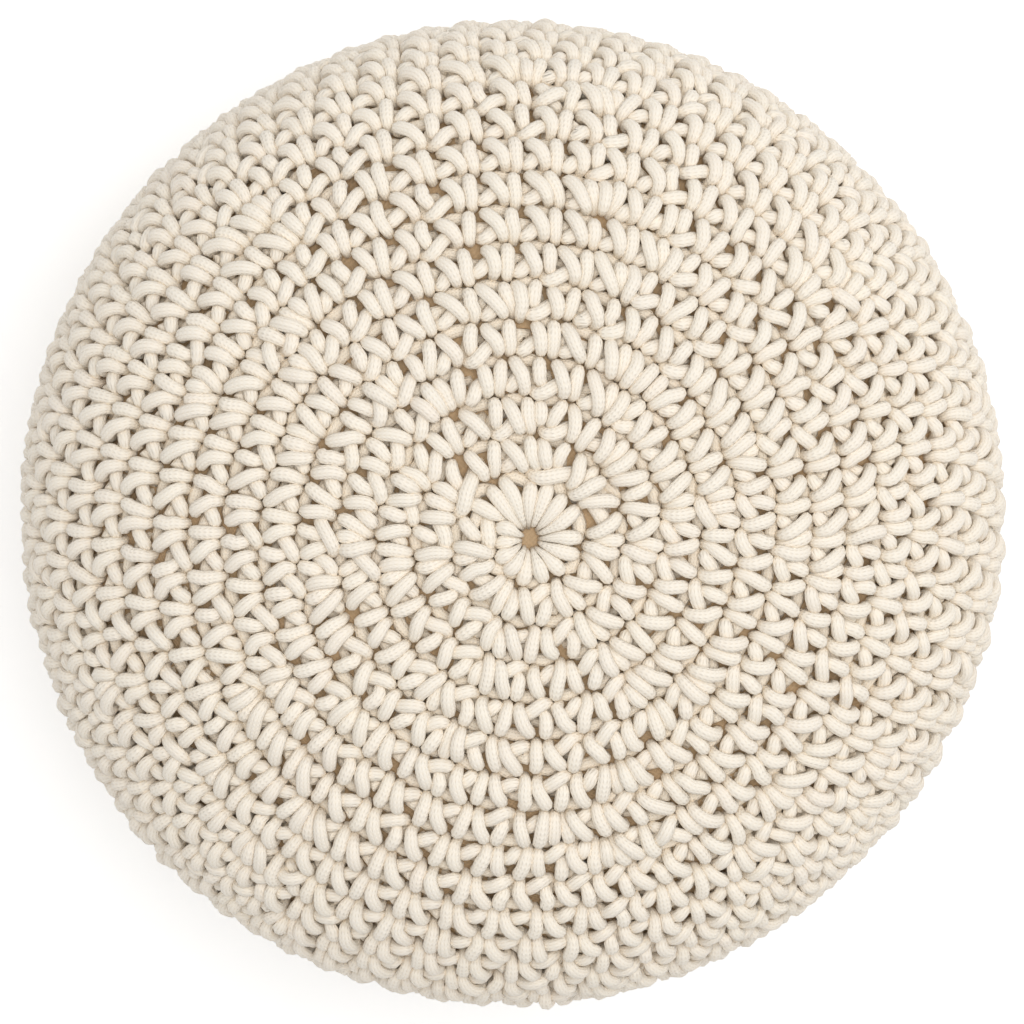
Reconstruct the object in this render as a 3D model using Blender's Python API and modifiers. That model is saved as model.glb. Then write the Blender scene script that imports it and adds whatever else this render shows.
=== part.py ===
"""A round floor pouf: a cover crocheted from thick braided cord, over a filled cloth bag.

The cover is one strip of single crochet, worked as a spiral from the top centre outwards,
down the side and in under the base.  Each round stands up as a soft ridge.  The larger
holes between the stitches go right through the wall, and the cloth bag shows in them.
"""

import math

import bmesh
import bpy
import numpy as np
from mathutils import Matrix, Vector

# Form of the pouf, in metres.  The origin is on the floor, under the centre.
OUTER_RADIUS = 0.250
HEIGHT = 0.320
WIDEST_LEVEL = 0.160
LOWER_REACH = 0.175      # how low the rounded underside would hang without a floor
SQUARENESS = 2.8         # 2 is an ellipse, more is flatter on top with fuller shoulders

# Crochet of the cover
ROUND_PITCH = 0.0187     # from one round of the spiral to the next, along the surface
SPIRAL_START = -0.0020   # the first round starts short, because it is worked into the ring
START_ANGLE = math.radians(140.0)
CENTRE_RADIUS = 0.0035   # radius of the starting ring
COVER_THICKNESS = 0.0140
COLUMNS = 36             # facets around the pouf
RIDGE_DEPTH = 0.0050     # from the crest of a round to the valley between two rounds
# Rows of corners down each round: the share of the pitch they lie at, and their depth
ROUND_ROWS = ((0.0, RIDGE_DEPTH), (0.3, 0.0), (0.7, 0.0))
# Handwork leaves the crests uneven: two ripples, each with its beats a turn and its start
UNEVENNESS = 0.0012
RIPPLES = ((3.07, 0.0), (5.05, 0.16))
STITCH_WIDTH_AT_CENTRE = 0.0175
STITCH_WIDTH_GROWTH = 0.0165   # stitches widen by this share of the distance from the axis

# Holes between the stitches that go right through.  The filling stretches the top and the
# shoulder of the cover the most, so the larger holes lie closer together there.
STITCHES_PER_UPPER_GAP = 6
STITCHES_PER_LOWER_GAP = 20
GAP_SIDES = 3
GAP_WIDTH = 0.0100
GAP_HEIGHT = 0.0090
CENTRE_GAP_SIDES = 8
CENTRE_GAP_WIDTH = 0.0085
CENTRE_GAP_LENGTH = 0.0110
PEG_LENGTH = COVER_THICKNESS * 1.6

# Filled bag
BAG_CLEARANCE = 0.0005
BAG_FACETS = 28
BAG_RINGS = 12

# Colours, as red, green and blue shares, and how matt the cloth is
CORD_COLOUR = (0.80, 0.74, 0.63)
CORD_ROUGHNESS = 0.9
BAG_COLOUR = (0.36, 0.25, 0.15)
BAG_ROUGHNESS = 0.95

MERGE_DISTANCE = 0.00005
SMOOTH_ANGLE = math.radians(50.0)
PROFILE_POINTS = 600
SLOPE_STEP = 0.0005


def remove_everything():
    """Start from an empty scene."""
    for thing in list(bpy.data.objects):
        bpy.data.objects.remove(thing, do_unlink=True)


def new_collection(name):
    """Add a collection to the scene."""
    collection = bpy.data.collections.new(name)
    bpy.context.scene.collection.children.link(collection)
    return collection


def fabric(name, colour, roughness):
    """A plain cloth material."""
    material = bpy.data.materials.new(name)
    material.use_nodes = True
    shader = material.node_tree.nodes["Principled BSDF"]
    shader.inputs["Base Color"].default_value = (*colour, 1.0)
    shader.inputs["Roughness"].default_value = roughness
    shader.inputs["Metallic"].default_value = 0.0
    return material


def half_section(inset, floor, count):
    """Radii and heights down the pouf's side, from the top centre to the floor level.

    The section is a superellipse in two halves that meet at the widest level, drawn in
    by the inset all round, and cut off level at the floor.
    """
    radius = OUTER_RADIUS - inset
    upper = HEIGHT - WIDEST_LEVEL - inset
    lower = LOWER_REACH - inset
    drop = WIDEST_LEVEL - floor
    floor_radius = radius * (1.0 - (drop / lower) ** SQUARENESS) ** (1.0 / SQUARENESS)
    angle = np.linspace(0.0, math.pi - math.atan2(floor_radius, drop), count)
    sine = np.sin(angle)
    cosine = np.cos(angle)
    reach = np.where(cosine > 0.0, upper, lower)
    ray = ((sine / radius) ** SQUARENESS + (np.abs(cosine) / reach) ** SQUARENESS)
    ray = ray ** (-1.0 / SQUARENESS)
    return ray * sine, WIDEST_LEVEL + ray * cosine


SIDE_RADII, SIDE_HEIGHTS = half_section(0.0, 0.0, PROFILE_POINTS)
SIDE_STEPS = np.hypot(np.diff(SIDE_RADII), np.diff(SIDE_HEIGHTS))
SIDE_LENGTHS = np.concatenate([[0.0], np.cumsum(SIDE_STEPS)])
SIDE_LENGTH = float(SIDE_LENGTHS[-1])
TURNS = (SIDE_LENGTH - SPIRAL_START) / ROUND_PITCH


def on_side(length):
    """Radius and height at a length down the side from the top centre."""
    radius = np.interp(length, SIDE_LENGTHS, SIDE_RADII)
    height = np.interp(length, SIDE_LENGTHS, SIDE_HEIGHTS)
    return float(radius), float(height)


def cover_frame(length, angle):
    """Point on the cover's crests, with the directions round, down and out of it."""
    radius, height = on_side(length)
    r_before, z_before = on_side(max(length - SLOPE_STEP, 0.0))
    r_after, z_after = on_side(min(length + SLOPE_STEP, SIDE_LENGTH))
    slope = Vector((r_after - r_before, 0.0, z_after - z_before)).normalized()
    spin = Matrix.Rotation(angle, 3, "Z")
    point = spin @ Vector((radius, 0.0, height))
    down = spin @ slope
    around = spin @ Vector((0.0, 1.0, 0.0))
    outward = down.cross(around)
    return point, around, down, outward


def side_length_at(turn):
    """Length down the side to the valley inside the stitches worked at this turn."""
    return SPIRAL_START + ROUND_PITCH * turn


def ease(value):
    """Smooth step from 0 to 1."""
    value = min(max(value, 0.0), 1.0)
    return value * value * (3.0 - 2.0 * value)


def ridge_inset(depth, turn, length):
    """How far a corner of the cover lies under the crests.

    The crests are a little uneven, as handwork is.  The ridges die out at the starting
    ring and at the edge of the flat base.
    """
    from_centre = ease((length - CENTRE_RADIUS) / ROUND_PITCH)
    from_base = ease((SIDE_LENGTH - length) / ROUND_PITCH)
    ripples = [math.sin(math.tau * (beats * turn + start)) for beats, start in RIPPLES]
    wave = 0.5 + 0.5 * sum(ripples) / len(ripples)
    return (depth + UNEVENNESS * wave) * from_centre * from_base


def finished_object(name, mesh):
    """An object, shaded smooth, from a bmesh that is used up."""
    data = bpy.data.meshes.new(name)
    mesh.to_mesh(data)
    mesh.free()
    data.shade_smooth()
    data.set_sharp_from_angle(angle=SMOOTH_ANGLE)
    return bpy.data.objects.new(name, data)


def ridged_shell(name):
    """The cover's outside as one closed body.

    A flat grid is wound onto the pouf: its columns go round, its rows go down the side, and
    each row slopes by one round in a full turn, so the grid's two edges meet one round apart.
    """
    rows = (math.ceil(TURNS) + 1) * len(ROUND_ROWS)
    mesh = bmesh.new()
    bmesh.ops.create_grid(mesh, x_segments=COLUMNS, y_segments=rows, size=0.5)
    for vertex in mesh.verts:
        share = round((vertex.co.x + 0.5) * COLUMNS) / COLUMNS
        whole_turn, row = divmod(round((vertex.co.y + 0.5) * rows), len(ROUND_ROWS))
        place, depth = ROUND_ROWS[row]
        turn = whole_turn - 1.0 + place + share
        length = min(max(side_length_at(turn), CENTRE_RADIUS), SIDE_LENGTH)
        point, _, _, outward = cover_frame(length, START_ANGLE + math.tau * share)
        vertex.co = point - outward * ridge_inset(depth, turn, length)
    bmesh.ops.remove_doubles(mesh, verts=mesh.verts, dist=MERGE_DISTANCE)
    bmesh.ops.dissolve_degenerate(mesh, edges=mesh.edges, dist=MERGE_DISTANCE)
    bmesh.ops.holes_fill(mesh, edges=mesh.edges, sides=0)
    bmesh.ops.recalc_face_normals(mesh, faces=mesh.faces)
    return finished_object(name, mesh)


def turned_solid(name, inset, floor):
    """A closed solid of revolution that follows the pouf's section."""
    radii, heights = half_section(inset, floor, BAG_RINGS)
    corners = [(float(radius), 0.0, float(height)) for radius, height in zip(radii, heights)]
    corners[0] = (0.0, 0.0, corners[0][2])
    corners.append((0.0, 0.0, floor))
    edges = [(index, index + 1) for index in range(len(corners) - 1)]
    data = bpy.data.meshes.new(name)
    data.from_pydata(corners, edges, [])
    solid = bpy.data.objects.new(name, data)
    turn = solid.modifiers.new("Turn", "SCREW")
    turn.steps = BAG_FACETS
    turn.render_steps = BAG_FACETS
    turn.use_merge_vertices = True
    turn.merge_threshold = MERGE_DISTANCE
    turn.use_smooth_shade = True
    return solid


def stitches_in_round(whole_turn):
    """Number of stitches worked in a round, counted along its middle."""
    radius, _ = on_side(side_length_at(whole_turn + 1.0))
    width = STITCH_WIDTH_AT_CENTRE + STITCH_WIDTH_GROWTH * radius
    return round(math.tau * radius / width)


def gap_turns():
    """Turns of the spiral at which a hole goes through the wall.

    A hole lies between the heads of two stitches, in the valley outside their round.
    """
    turns = []
    since_last = 0
    for whole_turn in range(math.floor(TURNS) - 2):
        stitches = stitches_in_round(whole_turn)
        for stitch in range(stitches):
            turn = whole_turn + 1.0 + stitch / stitches
            _, height = on_side(side_length_at(turn))
            upper = height > WIDEST_LEVEL
            since_last += 1
            if since_last >= (STITCHES_PER_UPPER_GAP if upper else STITCHES_PER_LOWER_GAP):
                turns.append(turn)
                since_last = 0
    return turns


def add_peg(mesh, point, axes, width, height, sides):
    """Add a peg that goes through the wall under a point on the crests."""
    middle = point - axes.col[2] * (COVER_THICKNESS * 0.5)
    stretch = Matrix.Diagonal((width * 0.5, height * 0.5, 1.0, 1.0))
    place = Matrix.Translation(middle) @ axes.to_4x4() @ stretch
    bmesh.ops.create_cone(mesh, cap_ends=True, segments=sides, radius1=1.0, radius2=1.0,
                          depth=PEG_LENGTH, matrix=place)


def gap_pegs(name):
    """Pegs that cut the holes between stitches and the hole in the starting ring."""
    mesh = bmesh.new()
    for turn in gap_turns():
        angle = START_ANGLE + math.tau * turn
        point, around, down, outward = cover_frame(side_length_at(turn), angle)
        axes = Matrix((around, down, outward)).transposed()
        add_peg(mesh, point, axes, GAP_WIDTH, GAP_HEIGHT, GAP_SIDES)
    top = Vector((0.0, 0.0, HEIGHT))
    upright = Matrix.Identity(3)
    add_peg(mesh, top, upright, CENTRE_GAP_WIDTH, CENTRE_GAP_LENGTH, CENTRE_GAP_SIDES)
    bmesh.ops.recalc_face_normals(mesh, faces=mesh.faces)
    return finished_object(name, mesh)


def cut(target, cutter):
    """Take the cutter's shape out of the target."""
    cutter.hide_render = True
    cutter.display_type = "WIRE"
    boolean = target.modifiers.new("Cut " + cutter.name, "BOOLEAN")
    boolean.operation = "DIFFERENCE"
    boolean.solver = "EXACT"
    boolean.object = cutter


def crocheted_cover(parts, cutters):
    """The cover: ridged outside, smooth hollow for the bag, and holes between stitches."""
    cover = ridged_shell("crocheted_cover")
    cover.data.materials.append(fabric("cream_cotton_cord", CORD_COLOUR, CORD_ROUGHNESS))
    parts.objects.link(cover)
    hollow = turned_solid("bag_hollow", COVER_THICKNESS, COVER_THICKNESS)
    pegs = gap_pegs("stitch_gaps")
    for cutter in (hollow, pegs):
        cutters.objects.link(cutter)
        cut(cover, cutter)
    return cover


def filled_bag(parts):
    """The stuffed cloth bag that fills the cover."""
    inset = COVER_THICKNESS + BAG_CLEARANCE
    bag = turned_solid("filled_bag", inset, inset)
    bag.data.materials.append(fabric("tan_bag_cloth", BAG_COLOUR, BAG_ROUGHNESS))
    parts.objects.link(bag)
    return bag


def main():
    """Build the pouf."""
    remove_everything()
    parts = new_collection("crocheted_pouf")
    cutters = new_collection("cutters")
    crocheted_cover(parts, cutters)
    filled_bag(parts)


main()
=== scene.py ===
# %% [markdown]
# # A crocheted floor pouf
#
# The pouf is a stuffed cloth bag inside a cover of thick braided cotton cord.  The cover is
# single crochet, worked in one long spiral from a ring at the top centre, out over the
# shoulder, down the side and in under the base.  Everything here is in metres, +Z up, and
# the pouf stands on the floor at the origin.
#
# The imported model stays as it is, and the pieces made here stand for it.  The height is read
# from it, and the side line has the shape that its solids were made on.

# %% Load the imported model
import itertools
import math

import bpy
import numpy as np
from mathutils import Matrix, Vector


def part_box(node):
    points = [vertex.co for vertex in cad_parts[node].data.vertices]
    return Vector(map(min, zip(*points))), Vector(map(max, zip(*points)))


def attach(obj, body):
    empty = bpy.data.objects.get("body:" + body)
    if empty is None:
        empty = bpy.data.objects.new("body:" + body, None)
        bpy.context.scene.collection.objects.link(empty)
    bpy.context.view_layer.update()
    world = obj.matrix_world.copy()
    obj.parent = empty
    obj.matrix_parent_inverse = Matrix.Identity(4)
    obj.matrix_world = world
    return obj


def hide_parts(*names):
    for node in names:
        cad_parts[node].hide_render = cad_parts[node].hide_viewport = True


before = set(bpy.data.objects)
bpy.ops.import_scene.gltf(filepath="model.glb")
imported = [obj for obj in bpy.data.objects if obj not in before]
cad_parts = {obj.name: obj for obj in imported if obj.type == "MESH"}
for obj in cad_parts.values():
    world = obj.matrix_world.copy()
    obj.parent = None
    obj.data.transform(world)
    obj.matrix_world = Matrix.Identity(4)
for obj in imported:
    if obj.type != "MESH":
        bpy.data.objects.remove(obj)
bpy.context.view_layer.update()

cover_low, cover_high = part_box("crocheted_cover")
print("cover", [round(side, 4) for side in cover_high - cover_low])

# %% [markdown]
# ## The shape that the crochet lies on
#
# Seen from the side the pouf is a rounded box: flat on top, full at the shoulder, round at
# the side and pressed flat on the floor.  A superellipse says this with one number, its
# squareness.  The side line is measured from the top centre downwards, because that is how
# the cover grows as it is crocheted.

# %% Side line
OUTER_RADIUS = 0.250
HEIGHT = cover_high.z
WIDEST_LEVEL = 0.5 * HEIGHT
LOWER_REACH = WIDEST_LEVEL + 0.015
SQUARENESS = 2.8
SIDE_POINTS = 3000


def half_section(inset, floor, count):
    """Radii and heights down the pouf's side, drawn in by an inset, level at the floor."""
    radius = OUTER_RADIUS - inset
    lower = LOWER_REACH - inset
    drop = WIDEST_LEVEL - floor
    floor_radius = radius * (1.0 - (drop / lower) ** SQUARENESS) ** (1.0 / SQUARENESS)
    angle = np.linspace(0.0, math.pi - math.atan2(floor_radius, drop), count)
    reach = np.where(angle < math.pi / 2, HEIGHT - WIDEST_LEVEL - inset, lower)
    ray = ((np.sin(angle) / radius) ** SQUARENESS
           + (np.abs(np.cos(angle)) / reach) ** SQUARENESS) ** (-1.0 / SQUARENESS)
    return ray * np.sin(angle), WIDEST_LEVEL + ray * np.cos(angle)


side_r, side_z = half_section(0.0, 0.0, SIDE_POINTS)
base_radius = float(side_r[-1])
# The base is flat, so the side line goes on along the floor towards the middle.
side_r = np.append(side_r, 0.0)
side_z = np.append(side_z, 0.0)
side_s = np.concatenate([[0.0], np.cumsum(np.hypot(np.diff(side_r), np.diff(side_z)))])
base_edge = float(side_s[-2])
print("side line", round(base_edge, 4), "m to the edge of the base, base radius",
      round(base_radius, 4))


def on_side(s):
    """Radius, height and outward direction at a length down the side line."""
    ahead = 0.003
    r = np.interp(s, side_s, side_r)
    z = np.interp(s, side_s, side_z)
    dr = np.interp(s + ahead, side_s, side_r) - np.interp(s - ahead, side_s, side_r)
    dz = np.interp(s + ahead, side_s, side_z) - np.interp(s - ahead, side_s, side_z)
    length = np.hypot(dr, dz)
    return r, z, -dz / length, dr / length


# %% [markdown]
# ## The spiral of stitches
#
# A crocheter works round and round without joining the rounds.  A place on the spiral is
# told by its turn: 2.5 is halfway round the third round.  The rounds lie one pitch apart
# along the side line.  Stitches are narrow near the ring and are stretched wider on the side.
#
# The hole between the heads of two stitches matters most, because every stitch of the next
# round is worked into one of them.  Where a round needs more stitches than the last one
# had, two stitches go into the same hole, and that is the increase that makes the disc grow.

# %% Stitches along the spiral
ROUND_PITCH = 0.0187
SPIRAL_START = -0.0020       # the first round is short, because it is worked into the ring
START_ANGLE = math.radians(140.0)
STITCH_WIDTH_AT_CENTRE = 0.0175
STITCH_WIDTH_GROWTH = 0.0165     # share of the distance from the axis
FIRST_STITCH_EXTRA = 0.010   # the first stitches fan out from the ring, so they are wider
FIRST_STITCH_FADE = 0.9      # in turns
FIRST_CHAIN_TURN = 0.17
WIDEST_STITCH_TURN = 0.15
UNDERSIDE_ROUNDS = 2
MIDDLE_OF_HEADS = 1.05       # rounds from a hole to where its stitch is widest


def side_length_at(turn):
    """Length down the side line to the inner edge of the round at this turn."""
    return SPIRAL_START + ROUND_PITCH * turn


last_turn = math.floor((base_edge - SPIRAL_START) / ROUND_PITCH) + UNDERSIDE_ROUNDS
hole_turn = [-FIRST_CHAIN_TURN]
while hole_turn[-1] < last_turn:
    here = hole_turn[-1]
    radius = float(on_side(side_length_at(here + MIDDLE_OF_HEADS))[0])
    width = (STITCH_WIDTH_AT_CENTRE + STITCH_WIDTH_GROWTH * radius
             + FIRST_STITCH_EXTRA * math.exp(-here / FIRST_STITCH_FADE))
    step = min(width / (math.tau * radius), WIDEST_STITCH_TURN)
    hole_turn.append(0.0 if here < 0.0 else here + step)
hole_turn = np.array(hole_turn)
stitch_span = np.diff(hole_turn)
stitch_count = len(stitch_span)
print(last_turn, "rounds,", stitch_count, "stitches")

# %% [markdown]
# ## Which hole each stitch is worked into
#
# The holes of the last round lie one turn back along the spiral.  Every stitch takes the
# hole nearest to its own place.  Away from the centre the stitches also lean forward, as
# crochet that is always worked in one direction does, so the wanted hole lies a little
# behind the head.  The first stitches have no round before them and go into the ring.

# %% Choose a hole for every stitch
RING = -1
LEAN_RADII = (0.03, 0.10, 0.17)
LEANS = (0.0, 0.12, 0.30)
head_turn = 0.5 * (hole_turn[:-1] + hole_turn[1:])
# Away from the centre each stitch leans forward, so its head is ahead of its hole.
lean = np.interp(on_side(side_length_at(head_turn + 1.0))[0], LEAN_RADII, LEANS)
wanted_hole = head_turn - lean * stitch_span - 1.0
worked_into = np.full(stitch_count, RING)
parent = 0
for stitch in np.flatnonzero(wanted_hole >= 0.0):
    wanted = wanted_hole[stitch]
    while abs(hole_turn[parent + 1] - wanted) < abs(hole_turn[parent] - wanted):
        parent += 1
    worked_into[stitch] = parent
in_ring = worked_into == RING
increases = int((np.diff(worked_into) == 0).sum() - in_ring.sum() + 1)
print(int(in_ring.sum()), "stitches in the ring,", increases, "increases")

# %% [markdown]
# ## Tension in the rounds
#
# At an increase two heads stand over one hole, and every head after them is out of line with
# its hole.  On the real cover the tight cord evens this out.  Here each head is pulled back
# towards its hole in many small steps, and each shift is shared with the stitches beside it.
# That gives the even fans of real crochet, which heads at fixed distances do not.

# %% Heads slide back over their holes
SLIDING_STEPS = 300
SLIDING_PULL = 0.035
SLIDING_SHARED = 0.25        # share of a shift that goes to each hole beside it
even_turn = hole_turn.copy()
for step in range(SLIDING_STEPS):
    head_turn = 0.5 * (hole_turn[:-1] + hole_turn[1:])
    pull = hole_turn[worked_into] + 1.0 + lean * stitch_span - head_turn
    pull[in_ring] = 0.0
    slid = hole_turn - even_turn
    beside = slid[:-2] + slid[2:]
    slid[1:-1] = (1.0 - 2 * SLIDING_SHARED) * slid[1:-1] + SLIDING_SHARED * beside
    slid[1:-1] += SLIDING_PULL * (pull[:-1] + pull[1:])
    slid[:int(in_ring.sum()) + 1] = 0.0
    hole_turn = even_turn + slid
offset = (head_turn - hole_turn[worked_into] - 1.0) / stitch_span - lean
print("heads off their place by", round(float(np.abs(offset[~in_ring]).mean()), 2),
      "stitches, spacing", (np.diff(hole_turn) / stitch_span).min().round(2), "to",
      (np.diff(hole_turn) / stitch_span).max().round(2))

# %% [markdown]
# ## Handwork
#
# No two stitches made by hand are alike.  Each hole moves a little towards one of its
# neighbours, by a random share of a stitch.  The random numbers start from a fixed seed, so
# the pouf comes out the same each time.

# %% Uneven spacing
UNEVEN_SPACING = 0.07        # share of a stitch
SEED = 7
rng = np.random.default_rng(SEED)
nudge = rng.uniform(-UNEVEN_SPACING, UNEVEN_SPACING, stitch_count - 1)
hole_turn[1:-1] += nudge * stitch_span[1:]
head_turn = 0.5 * (hole_turn[:-1] + hole_turn[1:])
stitch_span = np.diff(hole_turn)
foot_turn = np.where(in_ring, head_turn, hole_turn[worked_into] + 1.0)
print("spacing after handwork", stitch_span.min().round(4), "to", stitch_span.max().round(4),
      "of a turn")

# %% [markdown]
# ## One single crochet stitch
#
# The cord comes up through the hole from behind, over the edge of the last round and down
# the front as the left leg, turns behind its own head, and comes back as the right leg
# into the same hole.  From the front the two legs make a V.  Behind, the cord climbs to the
# head again and makes the chain loop that lies along the top of the round, and the next
# stitch is drawn through that loop.  The front of the loop shows as a short bar between
# two V's of the next round.
#
# The path is a short list of turning points.  Across is in stitch widths from the middle,
# down is in rounds from the hole that the stitch is worked into, and out is in cord radii
# from the middle of the fabric.  A smooth curve goes through them.

# %% Path of the cord in one stitch
CORD_RADIUS = 0.0033
STITCH_PATH = np.array([
    # across, down,   out, thick
    (-0.130, 0.28, -2.1, 0.70),    # behind, on the way from the last stitch to the hole
    (-0.120, 0.18, -1.4, 0.72),
    (-0.110, 0.09, -0.4, 0.76),    # up through the hole
    (-0.115, 0.16, 0.6, 0.86),
    (-0.150, 0.31, 1.1, 0.98),     # left leg
    (-0.200, 0.48, 1.3, 1.03),
    (-0.255, 0.66, 1.2, 1.02),
    (-0.295, 0.79, 0.7, 0.94),
    (-0.285, 0.87, -0.6, 0.84),    # behind its own head
    (0.000, 0.96, -0.9, 1.00),
    (0.285, 0.87, -0.6, 0.84),
    (0.300, 0.79, 0.7, 0.94),
    (0.260, 0.66, 1.2, 1.02),      # right leg
    (0.205, 0.48, 1.3, 1.03),
    (0.155, 0.31, 1.1, 0.98),
    (0.115, 0.16, 0.6, 0.86),
    (0.110, 0.09, -0.4, 0.76),     # down through the hole
    (0.100, 0.22, -1.4, 0.72),
    (0.120, 0.50, -1.9, 0.75),     # behind, climbing to the head
    (0.280, 0.85, -2.0, 0.75),
    (0.500, 1.24, -1.8, 0.80),
    (0.610, 1.47, -0.8, 0.92),     # chain loop: front strand
    (0.800, 1.37, 0.5, 1.00),
    (1.030, 1.22, 1.0, 1.03),
    (1.260, 1.08, 0.7, 1.00),
    (1.405, 1.14, -0.7, 0.86),     # its turn
    (1.440, 1.35, -1.2, 0.82),
    (1.240, 1.50, -0.4, 1.00),     # back strand
    (1.000, 1.58, -1.3, 0.85),
    (0.880, 1.20, -2.1, 0.70),     # behind, down to the next hole
    (0.850, 0.60, -2.2, 0.70),
])
CHAIN_START = 20             # row of the table at which the climb to the chain loop begins
# Segments that can be seen get more rings when the cord is swept, and low down only the
# bends do.
SEEN_SEGMENTS = [*range(3, 15), *range(22, 26)]
BEND_SEGMENTS = [4, 7, 8, 10, 11, 14, 23, 24]
FABRIC_MIDDLE = 2.4 * CORD_RADIUS    # how deep the middle of the fabric lies
print(len(STITCH_PATH), "turning points a stitch")

# %% [markdown]
# ## Laying the stitches on the pouf
#
# The foot of a stitch lies at its hole, and its head one round further down the side line.
# The turning points are stretched between these two places, and each place has its own
# directions outward, down and around.
#
# The first round is worked into a ring of cord that is then pulled tight, so its strands are
# squeezed thin where they meet in the middle.

# %% Where each stitch starts and ends
FOOT_EASE = 0.18             # how far a foot gives way towards its head
RING_RADIUS = 0.0024         # radius of the starting ring
RING_GROWTH = 0.15           # the ring widens as stitches are added
RING_CLOSENESS = 0.40        # width of a foot in the ring, as a share of its head


def surface_frame(s, turn):
    """Point on the pouf, with its directions outward from the fabric, down and around."""
    r, z, normal_r, normal_z = on_side(s)
    angle = START_ANGLE + math.tau * turn
    cosine, sine = np.cos(angle), np.sin(angle)
    point = np.stack([r * cosine, r * sine, z], axis=-1)
    outward = np.stack([normal_r * cosine, normal_r * sine, normal_z], axis=-1)
    around = np.stack([-sine, cosine, np.zeros_like(sine)], axis=-1)
    return point, outward, np.cross(around, outward), around


head_s = side_length_at(head_turn + 1.0)
head_radius = on_side(head_s)[0]
stitch_width = head_radius * math.tau * stitch_span
ring_s = RING_RADIUS + RING_GROWTH * np.maximum(side_length_at(head_turn) - RING_RADIUS, 0.0)
foot_turn = foot_turn + FOOT_EASE * (head_turn - foot_turn)
foot_s = np.where(in_ring, ring_s, side_length_at(foot_turn))
print("stitch widths", round(float(stitch_width.min()), 4), "to",
      round(float(stitch_width.max()), 4))

# %% [markdown]
# ## Every stitch a little different
#
# All the stitches start from the same table.  Then each strand of each stitch is shifted by
# its own random amount, the most in its middle, so a strand stays one smooth bend.  A much
# smaller shift of every single point keeps the strands from looking machine made.

# %% Shift the strands of each stitch
FIRST_BARS_DROP = 0.35       # in cord radii: the first bars lie deeper, between the fans
RING_SQUEEZE = (0.25, 1.5)   # share of the cord's thickness at the ring, and its growth
RING_THINNEST, RING_THICKEST = 0.34, 1.12
CENTRE_THINNING = 0.05       # the cord is pulled a little tighter near the centre
CENTRE_REACH = 0.08
POINT_SHIFT = 0.012
points_per_stitch = len(STITCH_PATH)
across, down, out, thick = (np.tile(column, (stitch_count, 1)) for column in STITCH_PATH.T)


def strand(first_point, shares):
    """How much of a strand's shift each turning point of a stitch takes."""
    weights = np.zeros(points_per_stitch)
    weights[first_point:first_point + len(shares)] = shares
    return weights


left_leg = strand(4, (0.5, 0.8, 1.0, 1.0, 1.0))
right_leg = strand(10, (1.0, 1.0, 1.0, 0.8, 0.5))
bar = strand(21, (0.5, 1.0, 1.0, 1.0, 0.5))
back_strand = strand(26, (0.5, 1.0, 0.5))
SHIFTS = [
    # direction, strand, usual size of the shift
    (across, left_leg, 0.05),
    (across, right_leg, 0.06),
    (down, left_leg, 0.03),
    (down, right_leg, 0.03),
    (down, bar, 0.04),
    (out, left_leg, 0.15),
    (out, right_leg, 0.15),
    (out, bar, 0.20),
    (down, back_strand, 0.05),
    (out, back_strand, 0.25),
]
for direction, weights, usual_shift in SHIFTS:
    direction += weights * rng.normal(0.0, usual_shift, (stitch_count, 1))
out -= bar * (FIRST_BARS_DROP * np.exp(-np.maximum(head_turn, 0.0)))[:, None]
squeezed = np.clip(RING_SQUEEZE[0] + RING_SQUEEZE[1] * down, RING_THINNEST, RING_THICKEST)
thick = thick * np.where(in_ring[:, None], squeezed, 1.0)
thick *= 1.0 - CENTRE_THINNING * np.exp(-(head_radius / CENTRE_REACH) ** 2)[:, None]
across += rng.normal(0.0, POINT_SHIFT, across.shape)
down += rng.normal(0.0, POINT_SHIFT, down.shape)
print("cord thickness", (2000 * CORD_RADIUS * thick.min()).round(1), "to",
      (2000 * CORD_RADIUS * thick.max()).round(1), "mm")

# %% [markdown]
# ## From the table to places on the pouf
#
# A turning point near the foot takes its directions from the foot, one near the head from
# the head, and those between them a mix of both.  The cord starts with its tail, which goes
# once round and closes the starting ring, then comes a bare chain loop, and then the first
# stitch.

# %% Turning points of the whole cord
RING_LOOP_POINTS = 13
# The tail and the ring: turn, distance from the centre, and how far out in cord radii
RING_LOOP = np.array([
    (-1.00, 0.0255, 0.3),
    (-0.84, 0.0240, 0.3),
    (-0.60, 0.0085, -0.9),
    (0.10, 0.0085, -0.9),
])
RING_LOOP_THICKNESS = 0.9
foot_point, foot_outward, foot_down, foot_around = surface_frame(foot_s, foot_turn)
foot_width = stitch_width * np.where(in_ring, RING_CLOSENESS, 1.0)
at_foot = (foot_point[:, None]
           + foot_around[:, None] * (across * foot_width[:, None])[..., None]
           + foot_down[:, None] * (np.minimum(down, 0.0) * ROUND_PITCH)[..., None])
past_head = np.maximum(down - 1.0, 0.0)
point_turn = head_turn[:, None] + (across + lean[:, None] * past_head) * stitch_span[:, None]
point_s = side_length_at(point_turn + 1.0) + past_head * ROUND_PITCH
at_head, head_outward = surface_frame(point_s, point_turn)[:2]
blend = np.clip(down, 0.0, 1.0)[..., None]
outward = foot_outward[:, None] * (1.0 - blend) + head_outward * blend
outward /= np.linalg.norm(outward, axis=-1, keepdims=True)
places = (at_foot * (1.0 - blend) + at_head * blend
          + outward * (out * CORD_RADIUS - FABRIC_MIDDLE)[..., None])
sunk = FABRIC_MIDDLE - out * CORD_RADIUS
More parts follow.
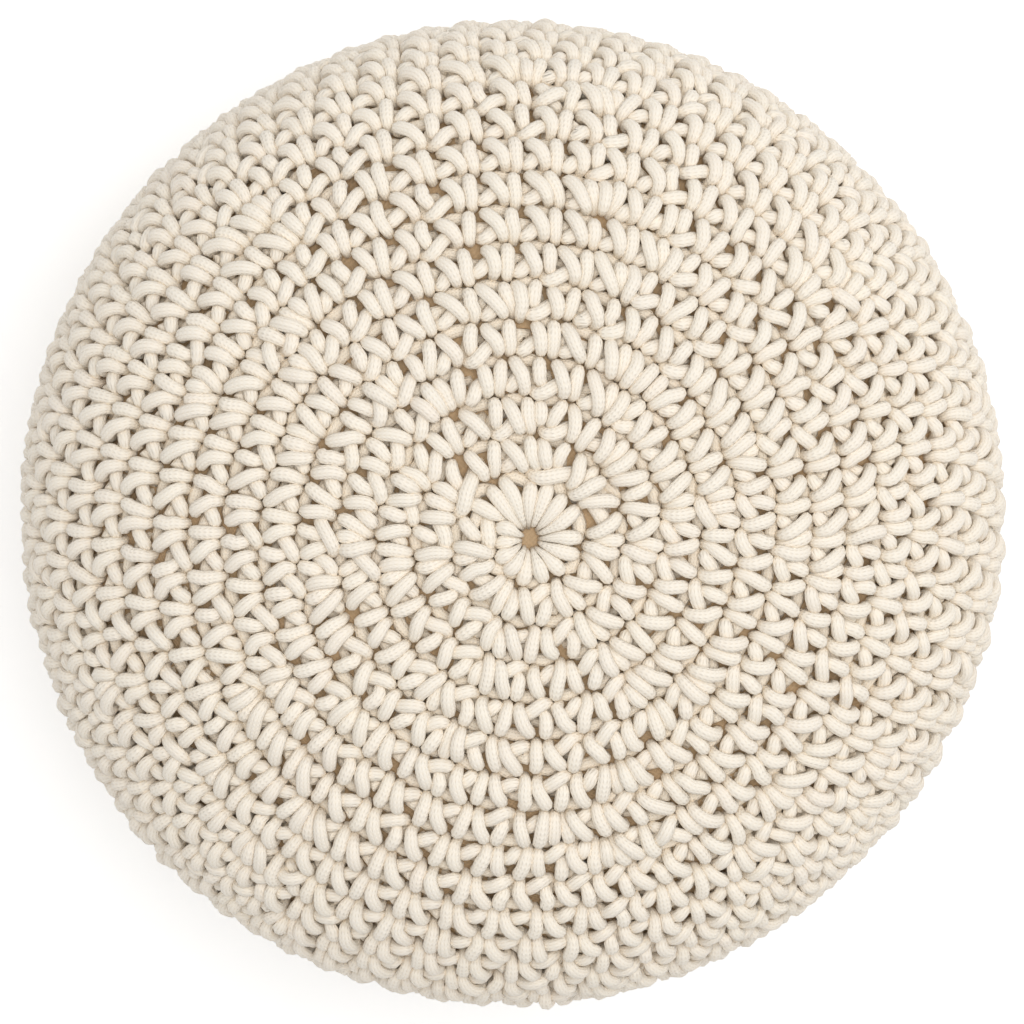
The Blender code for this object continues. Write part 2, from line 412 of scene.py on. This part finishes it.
# Each row holds a place, a thickness, the way outward and the depth in the fabric.
stitched = np.concatenate([places, thick[..., None] * CORD_RADIUS, outward, sunk[..., None]],
                          axis=-1)
knot_turns, knot_radii, knot_out = RING_LOOP.T
loop_turn = np.linspace(knot_turns[0], knot_turns[-1], RING_LOOP_POINTS)
loop_radius = np.interp(loop_turn, knot_turns, knot_radii)
loop_out = np.interp(loop_turn, knot_turns, knot_out)
loop_point, loop_outward = surface_frame(loop_radius, loop_turn)[:2]
loop_sunk = (FABRIC_MIDDLE - loop_out * CORD_RADIUS)[:, None]
loop_thickness = np.full((RING_LOOP_POINTS, 1), RING_LOOP_THICKNESS * CORD_RADIUS)
loop = np.concatenate([loop_point - loop_outward * loop_sunk, loop_thickness, loop_outward,
                       loop_sunk], axis=1)
cord_values = stitched.shape[-1]
turning_points = np.concatenate([loop, stitched.reshape(-1, cord_values)[CHAIN_START:]])
before_first = RING_LOOP_POINTS - CHAIN_START
print(len(turning_points), "turning points")


# %% [markdown]
# ## One curve for the whole cord
#
# The whole cover is one cord, so all the turning points are joined to one curve.  A
# Catmull-Rom curve goes through every point, which keeps each loop where it was laid.

# %% Smooth curve through the turning points
def smooth_curve(points, steps):
    """A Catmull-Rom curve through all the points, with a number of steps after each."""
    steps = np.broadcast_to(steps, len(points))
    index = np.repeat(np.arange(len(points)), steps)
    first = np.repeat(np.cumsum(steps) - steps, steps)
    t = ((np.arange(len(index)) - first) / steps[index])[:, None]
    last = len(points) - 1
    p0 = points[np.maximum(index - 1, 0)]
    p1 = points[index]
    p2 = points[np.minimum(index + 1, last)]
    p3 = points[np.minimum(index + 2, last)]
    return 0.5 * (2 * p1 + (p2 - p0) * t + (2 * p0 - 5 * p1 + 4 * p2 - p3) * t ** 2
                  + (3 * p1 - p0 - 3 * p2 + p3) * t ** 3)


# %% [markdown]
# ## Strands that meet
#
# Where strands cross, they still cut into each other, and the cover has tens of thousands of
# points.  Comparing every point with every other would take far too long.  Sorting the
# points into small boxes first means that only near ones are compared.

# %% Find the points that lie close together
def close_pairs(points, reach, apart):
    """Pairs of points within a reach that are more than some points apart on the cord."""
    boxes = np.floor(points / reach).astype(np.int64)
    boxes -= boxes.min(axis=0) - 1
    size = boxes.max(axis=0) + 2
    number = (boxes[:, 0] * size[1] + boxes[:, 1]) * size[2] + boxes[:, 2]
    order = np.argsort(number, kind="stable")
    sorted_number = number[order]
    found = []
    for x, y, z in itertools.product((-1, 0, 1), repeat=3):
        wanted = number + (x * size[1] + y) * size[2] + z
        low = np.searchsorted(sorted_number, wanted, "left")
        count = np.searchsorted(sorted_number, wanted, "right") - low
        one = np.repeat(np.arange(len(points)), count)
        start = np.repeat(low - (np.cumsum(count) - count), count)
        other = order[start + np.arange(len(one))]
        keep = other > one + apart
        one, other = one[keep], other[keep]
        gap = np.linalg.norm(points[one] - points[other], axis=1)
        found.append(np.stack([one[gap < reach], other[gap < reach]]))
    return np.concatenate(found, axis=1)


# %% [markdown]
# ## One cord, settled against itself
#
# Blender's cloth would treat the cover as a sheet, and it is one long cord worked into
# itself.  So points of the curve that are closer than the cord is thick push each other
# apart, a little at a time, and each shift is shared with the points beside it along the
# cord.  Thin places give way more than thick ones, and nothing sinks into the floor.

# %% Let the cord settle against itself
SETTLING_STEPS = 60
STEPS_BETWEEN_SEARCHES = 15
CLOSE_TOGETHER = 2.6 * CORD_RADIUS
NEAR_ALONG_CORD = 5          # points this near along the cord don't push each other
PUSH = 0.35                  # share of an overlap that one step takes away
SHARED = 0.2                 # share of a shift that goes to each point beside it
SPRING_BACK = 0.995
SOFTEST = 1.5
POINTS_ON_CURVE = 2          # for each turning point
dense = smooth_curve(turning_points, POINTS_ON_CURVE)
laid = dense[:, :3].copy()
place = laid.copy()
thickness = dense[:, 3]
ease = SOFTEST - thickness / thickness.max()
for step in range(SETTLING_STEPS):
    if step % STEPS_BETWEEN_SEARCHES == 0:
        pairs = close_pairs(place, CLOSE_TOGETHER, NEAR_ALONG_CORD)
    one, other = pairs
    apart = place[one] - place[other]
    distance = np.linalg.norm(apart, axis=1) + 1e-9
    overlap = np.maximum(thickness[one] + thickness[other] - distance, 0.0)
    if step in (0, SETTLING_STEPS - 1):
        print("step", step, "pairs", len(one), "touching", int((overlap > 0).sum()),
              "mean overlap mm", round(float(overlap[overlap > 0].mean()) * 1000, 3),
              "worst", round(float(overlap.max()) * 1000, 2))
    push = apart * (PUSH * overlap / distance)[:, None]
    share = ease[one] / (ease[one] + ease[other])
    moved = place - laid
    for axis in range(3):
        moved[:, axis] += np.bincount(one, push[:, axis] * share, len(place))
        moved[:, axis] -= np.bincount(other, push[:, axis] * (1.0 - share), len(place))
    moved[1:-1] = (1.0 - 2 * SHARED) * moved[1:-1] + SHARED * (moved[:-2] + moved[2:])
    place = laid + moved * SPRING_BACK
    place[:, 2] = np.maximum(place[:, 2], thickness)
turning_points[:, :3] = place[::POINTS_ON_CURVE]
print("settled, mean move mm",
      round(float(np.linalg.norm(place - laid, axis=1).mean()) * 1000, 2))


# %% [markdown]
# ## From a curve to a cord
#
# A curve object with a bevel would make a round cord.  This one needs more: it is pressed a
# little flat where it lies on the pouf, it is squeezed thin in the holes, and its map has to
# run on along the whole length for the braid.  So the tube is built ring by ring, and each
# ring needs two directions across the cord.  They are carried over from the ring before, so
# the braid does not twist.

# %% Directions carried along the cord
def carried_frames(points):
    """Two directions square to the curve at each point, carried along without twist."""
    tangent = np.gradient(points, axis=0)
    tangent /= np.linalg.norm(tangent, axis=1, keepdims=True)
    side = np.cross(tangent[0], (0.0, 0.0, 1.0))
    side /= np.linalg.norm(side)
    sides = np.empty_like(points)
    for index, direction in enumerate(tangent):
        side = side - direction * direction.dot(side)
        side /= math.sqrt(side.dot(side))
        sides[index] = side
    return sides, np.cross(tangent, sides)


# %% [markdown]
# ## The tube and its map
#
# The corners of all the rings are worked out at once and handed to the mesh in one piece,
# which is much quicker than adding them one by one.  The map tells the material how far
# round and how far along the cord a place is.  Each corner also keeps how deep it lies in
# the fabric.

# %% Tube with a map for the braid
SPREAD = 1.07                # the pressed cord is this much wider than a round one
PRESS = 0.90                 # and this much flatter
ROW_SPARE_LENGTH = 0.010     # left free at the end of each row of the folded map
ROW_MARGIN = 0.03            # left free at each edge of a row


def add_uv_map(mesh, name, u, v):
    """A UV map from values for each ring, side and corner."""
    rings, sides, corners = np.broadcast_shapes(np.shape(u), np.shape(v))
    uv = np.empty((rings, sides, corners, 2), dtype=np.float32)
    uv[..., 0] = u
    uv[..., 1] = v
    mesh.uv_layers.new(name=name).uv.foreach_set("vector", uv.ravel())


def cord_tube(name, curve, sides):
    """A tube along a curve, with its map and its depth for the material, and its length."""
    points = curve[:, :3]
    first, second = carried_frames(points)
    angles = np.arange(sides) * math.tau / sides
    ring = (np.cos(angles)[None, :, None] * first[:, None, :]
            + np.sin(angles)[None, :, None] * second[:, None, :])
    outward = curve[:, 4:7][:, None, :]
    rise = (ring * outward).sum(axis=-1, keepdims=True) * outward
    ring = (ring - rise) * SPREAD + rise * PRESS
    sunk = curve[:, 7:8] - (ring * outward).sum(axis=-1) * curve[:, 3:4]
    corners = (points[:, None, :] + ring * curve[:, 3][:, None, None]).reshape(-1, 3)
    rings = len(points)
    start = np.arange(rings - 1)[:, None] * sides + np.arange(sides)[None, :]
    after = np.arange(rings - 1)[:, None] * sides + (np.arange(sides)[None, :] + 1) % sides
    quads = np.stack([start, after, after + sides, start + sides], axis=-1).reshape(-1, 4)
    mesh = bpy.data.meshes.new(name)
    mesh.vertices.add(len(corners))
    mesh.vertices.foreach_set("co", corners.astype(np.float32).ravel())
    mesh.loops.add(quads.size)
    mesh.loops.foreach_set("vertex_index", quads.astype(np.int32).ravel())
    mesh.polygons.add(len(quads))
    mesh.polygons.foreach_set("loop_start", np.arange(0, quads.size, 4, dtype=np.int32))
    mesh.update(calc_edges=True)
    mesh.attributes.new("sunk", "FLOAT", "POINT").data.foreach_set("value", sunk.ravel())
    steps_along = np.linalg.norm(np.diff(points, axis=0), axis=1)
    lengths = np.concatenate([[0.0], np.cumsum(steps_along)])
    before, behind = lengths[:-1], lengths[1:]
    column = np.arange(sides)
    round_cord = np.stack([column, column + 1, column + 1, column], axis=-1)[None] / sides
    along_cord = np.stack([before, before, behind, behind], axis=-1)[:, None]
    add_uv_map(mesh, "cord", round_cord, along_cord)
    # The same strip folded into rows fills a square, for an exported copy of the colours.
    rows = round(math.sqrt(lengths[-1] / (math.tau * CORD_RADIUS)))
    row_length = lengths[-1] / rows
    row = np.floor(before / row_length)[:, None, None]
    add_uv_map(mesh, "OFBake",
               (along_cord - row * row_length) / (row_length + ROW_SPARE_LENGTH),
               (row + ROW_MARGIN + round_cord * (1.0 - 2.0 * ROW_MARGIN)) / rows)
    mesh.shade_smooth()
    return bpy.data.objects.new(name, mesh), float(lengths[-1])


# %% [markdown]
# ## The cover in seven bands
#
# The cord is swept in bands of whole rounds, each taking up the cord where the last one
# ends.  The top gets the most rings and sides, and the rounds under the base the fewest, so
# the mesh stays light where nobody looks closely.

# %% Cover bands
BANDS = [
    # first round, sides of the cord, segments with a ring more
    (0, 8, SEEN_SEGMENTS),
    (8, 8, SEEN_SEGMENTS),
    (12, 7, SEEN_SEGMENTS),
    (15, 7, SEEN_SEGMENTS),
    (18, 6, BEND_SEGMENTS),
    (22, 6, BEND_SEGMENTS),
    (26, 5, []),
]
band_objects = []
total_length = 0.0
first_rounds = [first_round for first_round, _, _ in BANDS]
band_of_stitch = np.searchsorted(first_rounds, head_turn, "right") - 1
band_of_stitch = np.maximum(band_of_stitch, 0)
for number, (_, sides, doubled) in enumerate(BANDS):
    chosen = np.flatnonzero(band_of_stitch == number)
    # The first band also takes up the tail of the cord and the starting ring.
    low = chosen[0] * points_per_stitch + before_first if chosen[0] else 0
    high = min((chosen[-1] + 1) * points_per_stitch + 1 + before_first, len(turning_points))
    steps_per_point = np.ones(points_per_stitch, dtype=int)
    steps_per_point[doubled] = 2
    steps = np.append(np.tile(steps_per_point, len(chosen)), 1)
    steps = np.append(np.full(max(high - low - len(steps), 0), 2), steps)[low - high:]
    curve = smooth_curve(turning_points[low:high], steps)
    band, length = cord_tube(f"crochet_band_{number + 1}", curve, sides)
    total_length += length
    bpy.context.scene.collection.objects.link(band)
    band_objects.append(band)
    print(band.name, len(chosen), "stitches", len(band.data.polygons) * 2, "triangles")
print("cord length", round(total_length, 1), "m")

# %% [markdown]
# ## The stuffed bag
#
# A bag of tan cloth is stuffed tight inside the cover.  It shows only through the holes and
# where the cover ends under the base.  The cover holds it to the same shape, so its side
# line is the cover's line drawn in, turned round the middle by a Screw modifier.  It lies
# tight all round and has no free fold, so no cloth is simulated here.

# %% Bag
BAG_INSET = 0.012
BAG_SECTIONS = 96
BAG_LEVELS = 46
MERGE_DISTANCE = 0.00005
radii, heights = half_section(BAG_INSET, BAG_INSET, BAG_LEVELS)
bag_mesh = bpy.data.meshes.new("stuffed_bag")
bag_corners = [(float(radius), 0.0, float(height)) for radius, height in zip(radii, heights)]
bag_corners[0] = (0.0, 0.0, bag_corners[0][2])
bag_corners.append((0.0, 0.0, BAG_INSET))
bag_mesh.from_pydata(bag_corners, [(i, i + 1) for i in range(len(bag_corners) - 1)], [])
bag = bpy.data.objects.new("stuffed_bag", bag_mesh)
bpy.context.scene.collection.objects.link(bag)
screw = bag.modifiers.new("Turn", "SCREW")
screw.steps = screw.render_steps = BAG_SECTIONS
screw.use_merge_vertices = True
screw.merge_threshold = MERGE_DISTANCE
print("bag", BAG_SECTIONS, "sections round")

# %% [markdown]
# ## Materials from nodes
#
# A material is a network of nodes, and each node hands its result to the next.  These
# helpers add a node and return its result, so a recipe can be read from top to bottom.
# Nothing here is glossy, so every surface starts matt.

# %% Helpers for material nodes
MATT_ROUGHNESS = 0.9
MATT_SHINE = 0.25


def put_node(material, kind, inputs, **settings):
    """A node with its settings, and its inputs linked or set."""
    node = material.node_tree.nodes.new(kind)
    for name, value in settings.items():
        setattr(node, name, value)
    for name, value in inputs.items():
        if isinstance(value, bpy.types.NodeSocket):
            material.node_tree.links.new(value, node.inputs[name])
        else:
            node.inputs[name].default_value = value
    return node


def maths(material, operation, first, second=0.0, third=0.0):
    """The result of one sum in the material."""
    inputs = {0: first, 1: second, 2: third}
    return put_node(material, "ShaderNodeMath", inputs, operation=operation).outputs[0]


def noise(material, place, scale, detail, dimensions="3D"):
    """A noise value about one half, at a place."""
    where = "W" if dimensions == "1D" else "Vector"
    inputs = {where: place, "Scale": scale, "Detail": detail}
    node = put_node(material, "ShaderNodeTexNoise", inputs, noise_dimensions=dimensions)
    return node.outputs[0]


def spread_out(material, value, low, high, at_low=0.0, at_high=1.0):
    """A value's range stretched to another range, and held at its ends."""
    inputs = {"Value": value, "From Min": low, "From Max": high,
              "To Min": at_low, "To Max": at_high}
    return put_node(material, "ShaderNodeMapRange", inputs).outputs[0]


def blend_colours(material, share, first, second, mode="MIX"):
    """Two colours mixed, or laid over one another, by a share."""
    node = put_node(material, "ShaderNodeMix", {}, data_type="RGBA", blend_type=mode)
    # The node has sockets for numbers and vectors too.  These are the ones for colours.
    share_socket, first_socket, second_socket = (node.inputs[place] for place in (0, 6, 7))
    for socket, value in ((share_socket, share), (first_socket, first),
                          (second_socket, second)):
        if isinstance(value, bpy.types.NodeSocket):
            material.node_tree.links.new(value, socket)
        else:
            socket.default_value = value
    return node.outputs[2]


def matt_surface(name):
    """A new matt material, and its shader."""
    material = bpy.data.materials.new(name)
    material.use_nodes = True
    shader = material.node_tree.nodes["Principled BSDF"]
    shader.inputs["Roughness"].default_value = MATT_ROUGHNESS
    shader.inputs["Specular IOR Level"].default_value = MATT_SHINE
    return material, shader


def dress(material, shader, colour, rough, height, depth):
    """Join a colour, a roughness and a height in metres to the shader."""
    bump = put_node(material, "ShaderNodeBump", {"Height": height, "Distance": depth})
    links = material.node_tree.links
    links.new(colour, shader.inputs["Base Color"])
    links.new(rough, shader.inputs["Roughness"])
    links.new(bump.outputs[0], shader.inputs["Normal"])


# %% [markdown]
# ## Braided cotton cord
#
# The cord is a round braid of undyed cotton, with columns of small V's along it.  An image
# of a braid would smear at the bends.  Instead the pattern is a sum of the two map values,
# how far round and how far along the cord a place is, so the braid keeps its size on every
# strand.  One height drives the bump and a painted shade in the grooves alike, and strands
# deep in the fabric get a darker, warmer painted shade.  The tone drifts slowly
# along the cord, and a little sheen stands for the loose fibres of cotton.

# %% Cord colours and braid
PLAITS_ROUND_CORD = 10
PLAIT_LENGTH = 0.0021
PLAIT_SLANT = 0.55           # how far a plait leans along the cord, in plait lengths
PLAIT_DEPTH = 0.00035
COLUMN_FULLNESS = 3.0        # the higher, the narrower the groove between two columns
COLUMN_SHARE = 0.5
FIBRES_ROUND_CORD = 24.0
FIBRES_A_METRE = 220.0
FIBRE_SHARE = 0.5
GROOVE_HEIGHTS = (0.25, 0.95)
PAINTED_GROOVE_SHADE_SHARE = 0.55
STRAND_TONES_A_METRE = 26.0
LOT_TONES_A_METRE = 3.0
PAINTED_SHADE_DEPTHS = (0.004, 0.015)     # metres under the crests
CORD_ROUGHNESS = (0.72, 0.97)
CORD_SHEEN = 0.15
SHEEN_ROUGHNESS = 0.6
CORD_PALE = (0.96, 0.885, 0.765, 1.0)
# Painted shade colour for the grooves of the braid.
CORD_PAINTED_SHADE = (0.84, 0.72, 0.55, 1.0)
CORD_GREY = (0.93, 0.88, 0.785, 1.0)
CORD_ROSE = (0.96, 0.86, 0.75, 1.0)
# Painted shade tint for strands deep in the fabric.
PAINTED_DEPTH_SHADE = (0.985, 0.92, 0.82, 1.0)

cord_material, cord_shader = matt_surface("cream_braided_cord")
cord_map = put_node(cord_material, "ShaderNodeUVMap", {}, uv_map="cord").outputs[0]
split = put_node(cord_material, "ShaderNodeSeparateXYZ", {0: cord_map})
round_cord, along_cord = split.outputs[0], split.outputs[1]
# Each plait is a slanted stroke, and strokes that lean both ways meet in a column of V's.
column_place = maths(cord_material, "FRACT",
                     maths(cord_material, "MULTIPLY", round_cord, PLAITS_ROUND_CORD))
from_middle = maths(cord_material, "ABSOLUTE",
                    maths(cord_material, "MULTIPLY_ADD", column_place, 2.0, -1.0))
stroke = maths(cord_material, "MULTIPLY_ADD", along_cord, 1.0 / PLAIT_LENGTH,
               maths(cord_material, "MULTIPLY", from_middle, PLAIT_SLANT))
stroke_height = maths(cord_material, "PINGPONG", stroke, 0.5)
column_height = maths(cord_material, "SUBTRACT", 1.0,
                      maths(cord_material, "POWER", from_middle, COLUMN_FULLNESS))
# Loose fibres lie along the cord.
fibre_place = put_node(cord_material, "ShaderNodeCombineXYZ", {
    0: maths(cord_material, "MULTIPLY", round_cord, FIBRES_ROUND_CORD),
    1: maths(cord_material, "MULTIPLY", along_cord, FIBRES_A_METRE)}).outputs[0]
fibres = noise(cord_material, fibre_place, 1.0, 3.0)
plait_height = maths(cord_material, "MULTIPLY_ADD", column_height, COLUMN_SHARE, stroke_height)
braid_height = maths(cord_material, "MULTIPLY_ADD", fibres, FIBRE_SHARE, plait_height)
# The tone drifts from strand to strand, because the cotton is not dyed.
strand_tone = noise(cord_material, along_cord, STRAND_TONES_A_METRE, 2.0, "1D")
lot_tone = noise(cord_material, along_cord, LOT_TONES_A_METRE, 1.0, "1D")
# Painted shade: the colour is made darker in the grooves of the braid, where shade falls.
painted_groove_shade = spread_out(cord_material, braid_height, *GROOVE_HEIGHTS, PAINTED_GROOVE_SHADE_SHARE, 0.0)
undyed = blend_colours(cord_material, strand_tone, CORD_GREY, CORD_ROSE)
undyed = blend_colours(cord_material, lot_tone, undyed, CORD_PALE)
cord_colour = blend_colours(cord_material, painted_groove_shade, undyed, CORD_PAINTED_SHADE)
# Painted shade: strands low in the fabric are coloured darker and warmer with their depth, in
# place of the shade and warm bounce light among the strands.
depth_node = put_node(cord_material, "ShaderNodeAttribute", {}, attribute_name="sunk")
painted_depth_shade_share = spread_out(cord_material, depth_node.outputs["Fac"], *PAINTED_SHADE_DEPTHS)
cord_colour = blend_colours(cord_material, painted_depth_shade_share, cord_colour, PAINTED_DEPTH_SHADE, "MULTIPLY")
cord_rough = maths(cord_material, "MULTIPLY_ADD", fibres,
                   CORD_ROUGHNESS[1] - CORD_ROUGHNESS[0], CORD_ROUGHNESS[0])
dress(cord_material, cord_shader, cord_colour, cord_rough, braid_height, PLAIT_DEPTH)
cord_shader.inputs["Sheen Weight"].default_value = CORD_SHEEN
cord_shader.inputs["Sheen Roughness"].default_value = SHEEN_ROUGHNESS
print(PLAITS_ROUND_CORD, "plaits round the cord, each", PLAIT_LENGTH, "m long")

# %% [markdown]
# ## Cloth of the bag
#
# The bag is plain woven cotton, seen in the shade at the bottom of the holes.  Two crossed
# waves make the weave, and a fine noise mottles it.

# %% Cloth colours and weave
THREAD_PITCH = 0.0014
WEAVE_DEPTH = 0.0003
WEAVE_SHARE, MOTTLE_SHARE = 0.4, 0.6
MOTTLES_A_METRE = 60.0
CLOTH_ROUGHNESS = (0.78, 0.98)
CLOTH_PALE = (0.62, 0.45, 0.275, 1.0)
CLOTH_DARK = (0.48, 0.335, 0.195, 1.0)

bag_material, bag_shader = matt_surface("tan_woven_cloth")
cloth_place = put_node(bag_material, "ShaderNodeTexCoord", {}).outputs["Object"]
split = put_node(bag_material, "ShaderNodeSeparateXYZ", {0: cloth_place})
thread_waves = []
for side in (0, 1):
    # Adding the height keeps the threads running down the side of the bag too.
    thread_place = maths(bag_material, "ADD", split.outputs[side], split.outputs[2])
    wave_place = maths(bag_material, "MULTIPLY", thread_place, math.pi / THREAD_PITCH)
    thread_waves.append(maths(bag_material, "SINE", wave_place))
weave = maths(bag_material, "MULTIPLY_ADD",
              maths(bag_material, "MULTIPLY", *thread_waves), 0.5, 0.5)
mottle = noise(bag_material, cloth_place, MOTTLES_A_METRE, 4.0)
paleness = maths(bag_material, "MULTIPLY_ADD", weave, WEAVE_SHARE,
                 maths(bag_material, "MULTIPLY", mottle, MOTTLE_SHARE))
cloth_colour = blend_colours(bag_material, paleness, CLOTH_DARK, CLOTH_PALE)
cloth_rough = maths(bag_material, "MULTIPLY_ADD", mottle,
                    CLOTH_ROUGHNESS[1] - CLOTH_ROUGHNESS[0], CLOTH_ROUGHNESS[0])
dress(bag_material, bag_shader, cloth_colour, cloth_rough, weave, WEAVE_DEPTH)
print("cloth with a thread every", THREAD_PITCH, "m")

# %% [markdown]
# ## Into the frame
#
# Each piece rides on the one body, takes its finish from a named slot, and stands for the
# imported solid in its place.

# %% Ride, slot and replace
for band in band_objects:
    band.data.materials.append(cord_material)
    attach(band, "root")
    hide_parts("crocheted_cover")
bag.data.materials.append(bag_material)
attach(bag, "root")
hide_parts("filled_bag")
print(len(band_objects) + 1, "pieces on the frame")

# %% [markdown]
# ## Floor and light
#
# The pouf stands on a plain pale floor in a bright room with soft light from everywhere.  A
# large soft lamp overhead lights the strands, and a weaker one from the side gives them
# their shape.  The floor glows faintly, so it stays plain and pale around the pouf.

# %% Floor
FLOOR_HALF = 6.0
FLOOR_TONE = (0.95, 0.95, 0.95, 1.0)
WHITE = (1.0, 1.0, 1.0, 1.0)
FLOOR_GLOW = 0.28
floor_corners = [(x * FLOOR_HALF, y * FLOOR_HALF, 0.0)
                 for x, y in ((-1, -1), (1, -1), (1, 1), (-1, 1))]
floor_mesh = bpy.data.meshes.new("floor")
floor_mesh.from_pydata(floor_corners, [], [(0, 1, 2, 3)])
floor = bpy.data.objects.new("floor", floor_mesh)
bpy.context.scene.collection.objects.link(floor)
floor_material, floor_shader = matt_surface("pale_floor")
floor_shader.inputs["Base Color"].default_value = FLOOR_TONE
floor_shader.inputs["Emission Color"].default_value = WHITE
floor_shader.inputs["Emission Strength"].default_value = FLOOR_GLOW
floor.data.materials.append(floor_material)
print("floor", 2 * FLOOR_HALF, "m across")

# %% Light
ROOM_LIGHT = 0.46
room = bpy.data.worlds.new("studio")
bpy.context.scene.world = room
room.use_nodes = True
room_light = room.node_tree.nodes["Background"]
room_light.inputs["Color"].default_value = WHITE
room_light.inputs["Strength"].default_value = ROOM_LIGHT
bpy.context.scene.view_settings.view_transform = "Standard"


def soft_light(name, place, size, watts):
    """A square studio light that faces the middle of the pouf."""
    light = bpy.data.lights.new(name, "AREA")
    light.energy = watts
    light.size = size
    lamp = bpy.data.objects.new(name, light)
    bpy.context.scene.collection.objects.link(lamp)
    lamp.location = place
    facing = Vector((0.0, 0.0, WIDEST_LEVEL)) - Vector(place)
    lamp.rotation_euler = facing.to_track_quat("-Z", "Y").to_euler()
    print(name, "lamp,", size, "m wide,", watts, "W")


soft_light("overhead", (0.05, 0.25, 2.8), 1.6, 37.0)
soft_light("side", (1.65, 0.85, 1.5), 1.4, 8.0)

# %% [markdown]
# ## Camera
#
# The camera looks down from almost straight above.  Its three directions are worked out
# from the tilt and the bearing and put into its matrix, because a camera that looks straight
# down would leave the way up to chance.  The lens is chosen so that the pouf fills the view.

# %% Camera
VIEW_TILT = math.radians(5.8)
VIEW_BEARING = math.radians(121.0)
VIEW_DISTANCE = 2.2
VIEW_WIDTH = 0.525           # metres across, at the pouf
SENSOR_WIDTH = 36.0
aim = Vector((0.0, 0.0, WIDEST_LEVEL))
towards = Vector((math.sin(VIEW_TILT) * math.cos(VIEW_BEARING),
                  math.sin(VIEW_TILT) * math.sin(VIEW_BEARING), math.cos(VIEW_TILT)))
camera_data = bpy.data.cameras.new("camera")
camera = bpy.data.objects.new("camera", camera_data)
bpy.context.scene.collection.objects.link(camera)
right = (Vector((1.0, 0.0, 0.0)) - towards * towards.x).normalized()
up = towards.cross(right)
turned = Matrix((right, up, towards)).transposed().to_4x4()
camera.matrix_world = Matrix.Translation(aim + towards * VIEW_DISTANCE) @ turned
camera_data.sensor_width = SENSOR_WIDTH
camera_data.lens = SENSOR_WIDTH * VIEW_DISTANCE / VIEW_WIDTH
bpy.context.scene.camera = camera
print("lens", round(camera_data.lens, 1), "mm")
